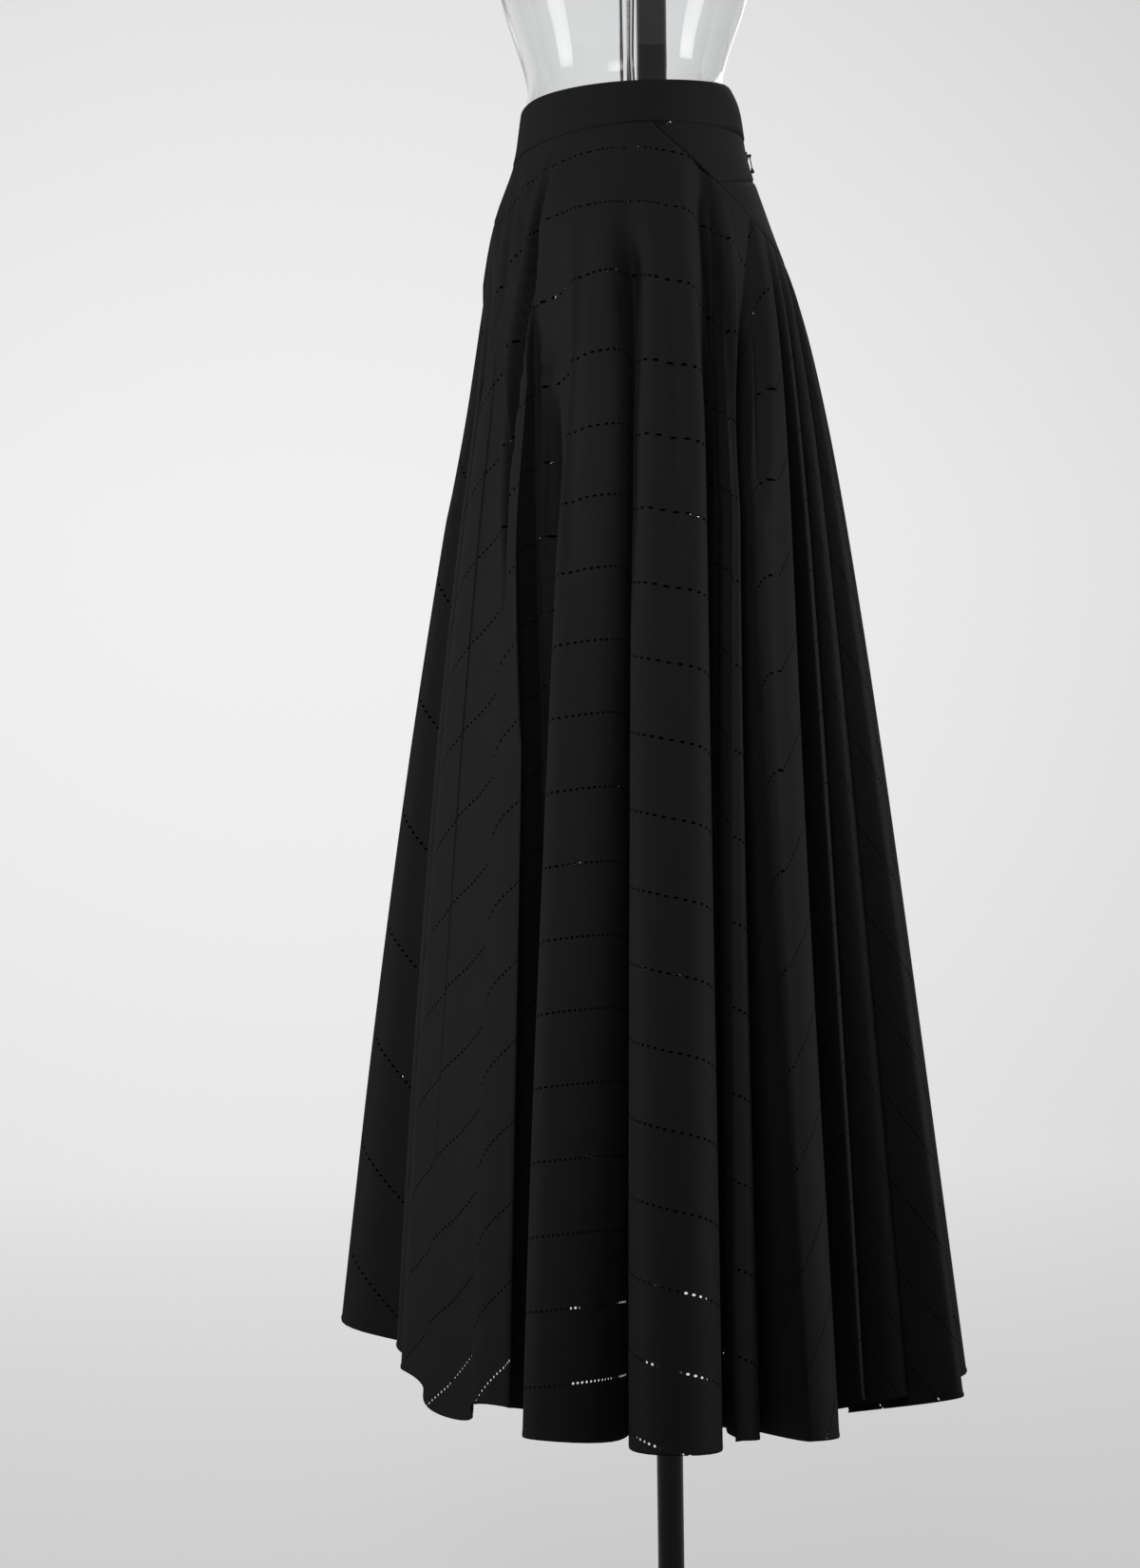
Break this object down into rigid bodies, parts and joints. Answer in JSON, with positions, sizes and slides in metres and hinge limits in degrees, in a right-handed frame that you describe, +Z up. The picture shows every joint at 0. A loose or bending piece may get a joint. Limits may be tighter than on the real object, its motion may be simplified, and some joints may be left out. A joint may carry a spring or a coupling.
{
  "type": "flared skirt on a dress form",
  "caption": "Long circle-cut skirt with deep soft folds, waistband, back yoke and zip, worn on a clear limbless dress form with pole and round base.",
  "frame": {"origin": "centre of the base's underside, on the pole's axis", "axes": "+Z up; -Y is the wearer's front, +Y the back with the zip, +X the wearer's left"},
  "size_m": [0.6807, 0.5185, 1.7923],
  "materials": {
    "cloth": "matt black woven cloth with rows of small round openwork holes",
    "zip_metal": "dark lacquered",
    "clear_plastic": "clear, moulded in two shells",
    "stand": "gloss black"
  },
  "bodies": {
    "skirt_on_form": {"waistband": "cloth", "yoke_upper_left": "cloth", "yoke_upper_right": "cloth", "yoke_lower_left": "cloth", "yoke_lower_right": "cloth", "front_left": "cloth", "front_right": "cloth", "back_left": "cloth", "back_right": "cloth", "zip_slider": "zip_metal", "form_front": "clear_plastic", "form_back": "clear_plastic", "neck_cap": "stand", "sleeve": "stand", "pole": "stand", "base": "stand"},
    "zip_pull": {"zip_pull": "zip_metal"}
  },
  "joints": [
    {"name": "zip_pull_swing", "type": "hinge", "parent": "skirt_on_form", "child": "zip_pull", "pos_m": [0, 0.08033, 1.251], "axis": [1, 0, 0], "range_deg": [0, 150]}
  ]
}
